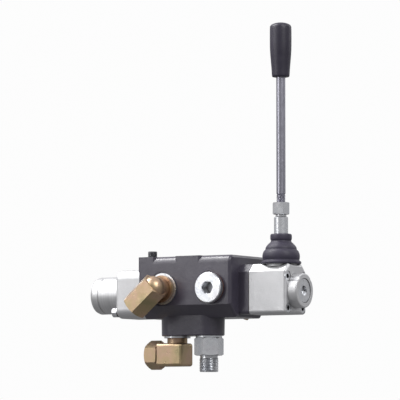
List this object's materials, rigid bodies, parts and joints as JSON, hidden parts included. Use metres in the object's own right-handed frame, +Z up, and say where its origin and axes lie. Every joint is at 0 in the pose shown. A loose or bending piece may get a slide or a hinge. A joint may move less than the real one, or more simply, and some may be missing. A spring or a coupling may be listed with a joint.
{
  "type": "hydraulic directional control valve",
  "caption": "Lever-operated hydraulic spool valve: black iron body, spring and detent housing, lever housing with boot and rod lever, threaded port fittings.",
  "frame": {"origin": "centre of the cylinder nipple's lower shoulder, where the valve is screwed onto its port", "axes": "+Z up along the lever and the nipple, +X along the spool towards the lever, -Y the front with the tank ports"},
  "size_m": [0.2086, 0.116, 0.298],
  "materials": {
    "cast_iron_black": "black enamel on cast iron",
    "aluminium": "die-cast, fine shot-blasted",
    "bright_steel": "ground steel",
    "zinc_screws": "bright zinc plate",
    "plug_steel": "blackened steel",
    "spring_steel": "oiled spring wire",
    "ball_steel": "polished bearing steel",
    "yellow_zinc": "yellow passivated zinc on steel",
    "rubber": "matt black rubber",
    "copper": "soft copper ring",
    "grip_plastic": "moulded black plastic",
    "gasket": "fibre gasket"
  },
  "bodies": {
    "root": {"centering_spring_inner": "spring_steel", "centering_spring_outer": "spring_steel", "centering_spring_washer": "bright_steel", "check_plug": "plug_steel", "check_spring": "spring_steel", "cylinder_nipple": "zinc_screws", "detent_cap": "aluminium", "detent_ring": "bright_steel", "inlet_elbow": "yellow_zinc", "inlet_elbow_seal": "zinc_screws", "lever_boot": "rubber", "lever_housing": "aluminium", "lever_housing_gasket": "gasket", "lever_housing_plug": "zinc_screws", "lever_housing_screws": "zinc_screws", "pivot_pin": "bright_steel", "port_plug": "zinc_screws", "port_plug_seal": "copper", "relief_seat": "bright_steel", "relief_spring": "spring_steel", "spool_seals": "rubber", "spool_wiper": "rubber", "spring_housing": "aluminium", "spring_housing_gasket": "gasket", "spring_housing_screws": "zinc_screws", "tank_elbow": "yellow_zinc", "tank_elbow_seal": "zinc_screws", "valve_body": "cast_iron_black", "work_port_elbow": "yellow_zinc", "work_port_elbow_nut": "yellow_zinc", "work_port_seals": "zinc_screws"},
    "lever": {"lever_stub": "bright_steel", "lever_rod": "bright_steel", "lever_lock_nut": "zinc_screws", "lever_grip": "grip_plastic"},
    "spool": {"spool": "bright_steel", "spool_stud": "bright_steel", "spring_collar": "bright_steel", "detent_balls": "ball_steel", "detent_spring": "spring_steel"},
    "relief_poppet": {"relief_poppet": "bright_steel"},
    "relief_screw": {"relief_adjusting_screw": "plug_steel"},
    "check_poppet": {"check_poppet": "bright_steel"}
  },
  "joints": [
    {"name": "lever_tilt", "type": "hinge", "parent": "root", "child": "lever", "pos_m": [0.0669, 0.0085, 0.0715], "axis": [0, 1, 0], "range_deg": [-20, 20], "deforming": ["lever_boot"]},
    {"name": "spool_slide", "type": "slide", "parent": "root", "child": "spool", "axis": [1, 0, 0], "range_m": [-0.006, 0.006], "stiffness_N_per_m": 6000, "deforming": ["centering_spring_inner", "centering_spring_outer"]},
    {"name": "relief_lift", "type": "slide", "parent": "root", "child": "relief_poppet", "axis": [0, 0, 1], "range_m": [0, 0.0012], "stiffness_N_per_m": 300, "springref_m": -0.003, "deforming": ["relief_spring"]},
    {"name": "relief_adjust", "type": "hinge", "parent": "root", "child": "relief_screw", "pos_m": [-0.0495, -0.0125, 0.085], "axis": [0, 0, 1], "range_deg": [-360, 360]},
    {"name": "check_lift", "type": "slide", "parent": "root", "child": "check_poppet", "axis": [0, 0, 1], "range_m": [0, 0.0025], "stiffness_N_per_m": 100, "springref_m": -0.002, "deforming": ["check_spring"]}
  ],
  "couplings": [
    {"joint": "spool_slide", "follows": "lever_tilt", "m_per_rad": -0.017147}
  ]
}
